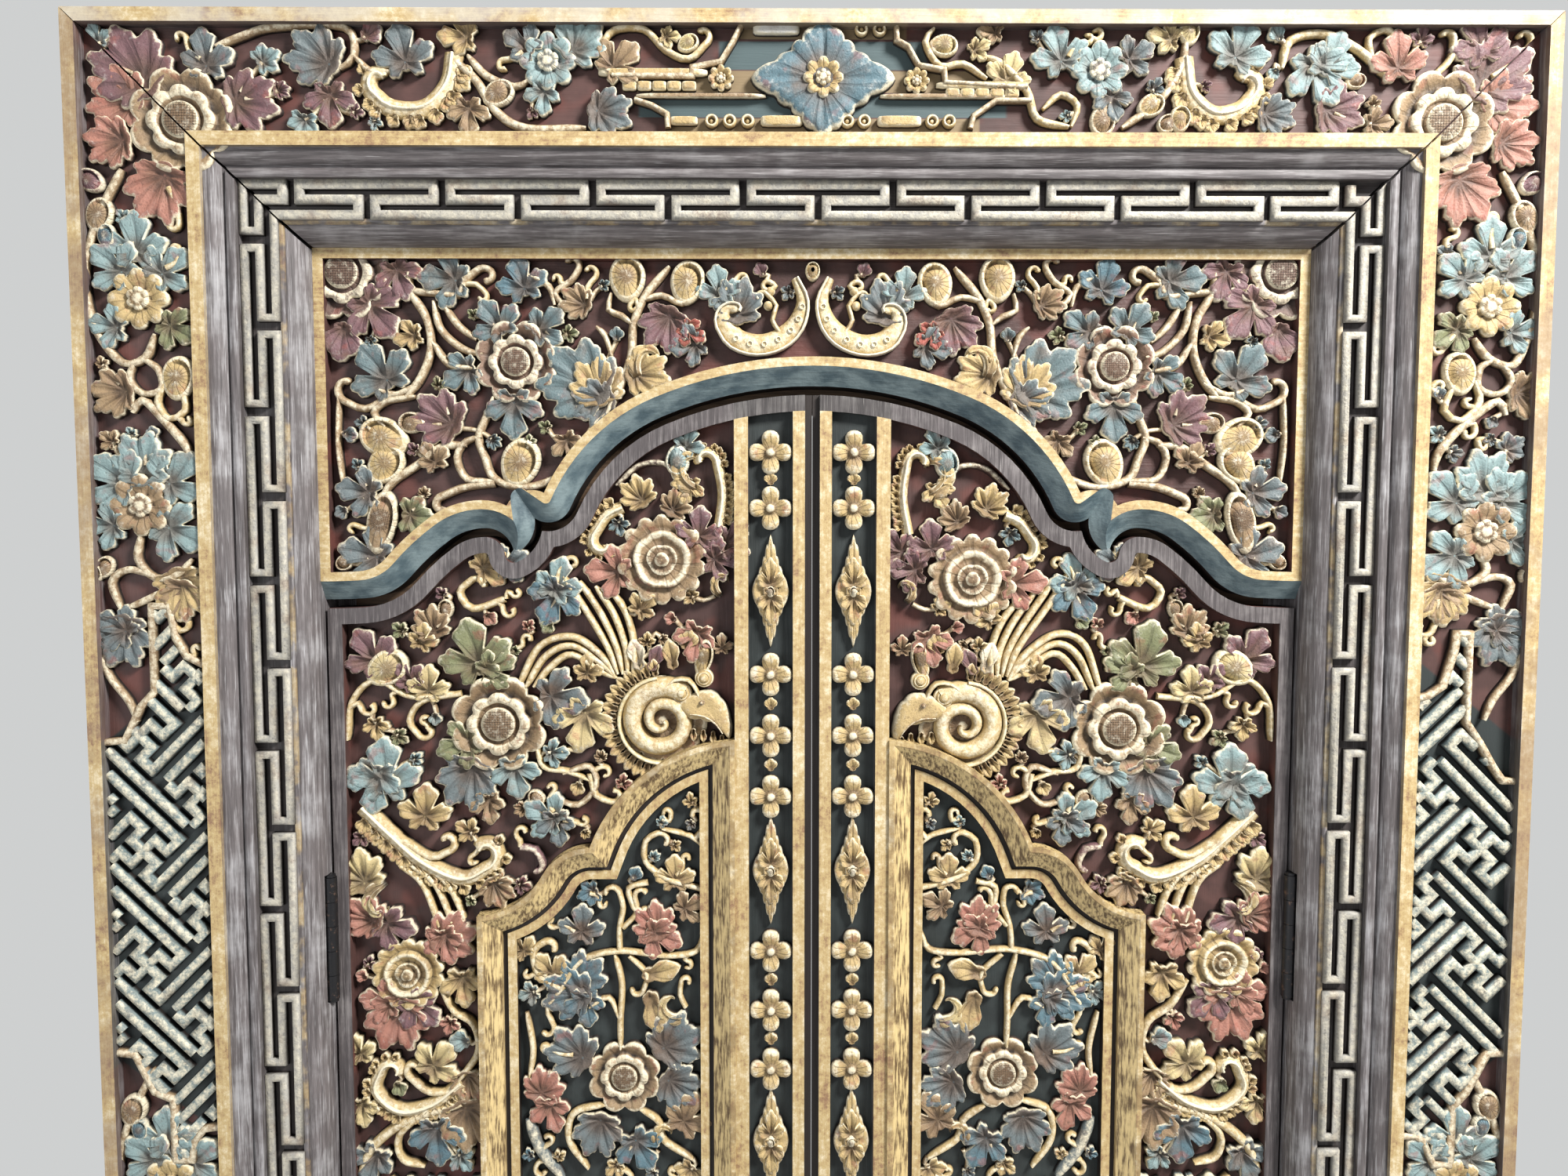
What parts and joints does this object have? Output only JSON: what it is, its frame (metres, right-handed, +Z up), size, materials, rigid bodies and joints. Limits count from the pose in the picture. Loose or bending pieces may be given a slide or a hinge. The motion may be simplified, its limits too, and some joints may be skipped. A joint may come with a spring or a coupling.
{
  "type": "carved temple door",
  "caption": "Carved double-leaf temple door: arched leaves on butt hinges in a mitred moulded frame with a cusped head panel.",
  "frame": {"origin": "on the floor at the middle of the threshold's underside, halfway through the frame's depth", "axes": "+Z up, -Y out of the carved face towards the viewer, +X to the viewer's right"},
  "size_m": [1.4, 0.12, 2.35],
  "materials": {
    "frame_wood": "weathered paint and gilding on carved hardwood",
    "tympanum_wood": "worn dark red paint with gilt edges",
    "stop_wood": "dark rough-sawn",
    "leaf_wood": "weathered dark paint",
    "stile_wood": "worn gilding on a dark green ground",
    "gilt_wood": "worn gilding",
    "ledge_wood": "bare oiled hardwood",
    "peg_wood": "bare hardwood",
    "hinge_iron": "worn black paint",
    "hinge_pin": "worn black paint"
  },
  "bodies": {
    "frame": {"arch_stop_board": "stop_wood", "corner_key_left": "peg_wood", "corner_key_right": "peg_wood", "frame_head": "frame_wood", "frame_jamb_left": "frame_wood", "frame_jamb_right": "frame_wood", "frame_pegs": "peg_wood", "frame_sill": "frame_wood", "hinge_jamb_plate_left_lower": "hinge_iron", "hinge_jamb_plate_left_middle": "hinge_iron", "hinge_jamb_plate_left_upper": "hinge_iron", "hinge_jamb_plate_right_lower": "hinge_iron", "hinge_jamb_plate_right_middle": "hinge_iron", "hinge_jamb_plate_right_upper": "hinge_iron", "hinge_pin_left_lower": "hinge_pin", "hinge_pin_left_middle": "hinge_pin", "hinge_pin_left_upper": "hinge_pin", "hinge_pin_right_lower": "hinge_pin", "hinge_pin_right_middle": "hinge_pin", "hinge_pin_right_upper": "hinge_pin", "tympanum": "tympanum_wood"},
    "leaf_left": {"back_ledge_left_lower": "ledge_wood", "back_ledge_left_middle": "ledge_wood", "back_ledge_left_upper": "ledge_wood", "hinge_leaf_plate_left_lower": "hinge_iron", "hinge_leaf_plate_left_middle": "hinge_iron", "hinge_leaf_plate_left_upper": "hinge_iron", "leaf_board_left": "leaf_wood", "meeting_stile_left": "stile_wood", "panel_moulding_left": "gilt_wood"},
    "leaf_right": {"back_ledge_right_lower": "ledge_wood", "back_ledge_right_middle": "ledge_wood", "back_ledge_right_upper": "ledge_wood", "hinge_leaf_plate_right_lower": "hinge_iron", "hinge_leaf_plate_right_middle": "hinge_iron", "hinge_leaf_plate_right_upper": "hinge_iron", "leaf_board_right": "leaf_wood", "meeting_stile_right": "stile_wood", "panel_moulding_right": "gilt_wood"}
  },
  "joints": [
    {"name": "leaf_left_swing", "type": "hinge", "parent": "frame", "child": "leaf_left", "pos_m": [-0.4905, -0.007, 1], "axis": [0, 0, -1], "range_deg": [0, 105]},
    {"name": "leaf_right_swing", "type": "hinge", "parent": "frame", "child": "leaf_right", "pos_m": [0.4905, -0.007, 1], "axis": [0, 0, 1], "range_deg": [0, 105]}
  ]
}
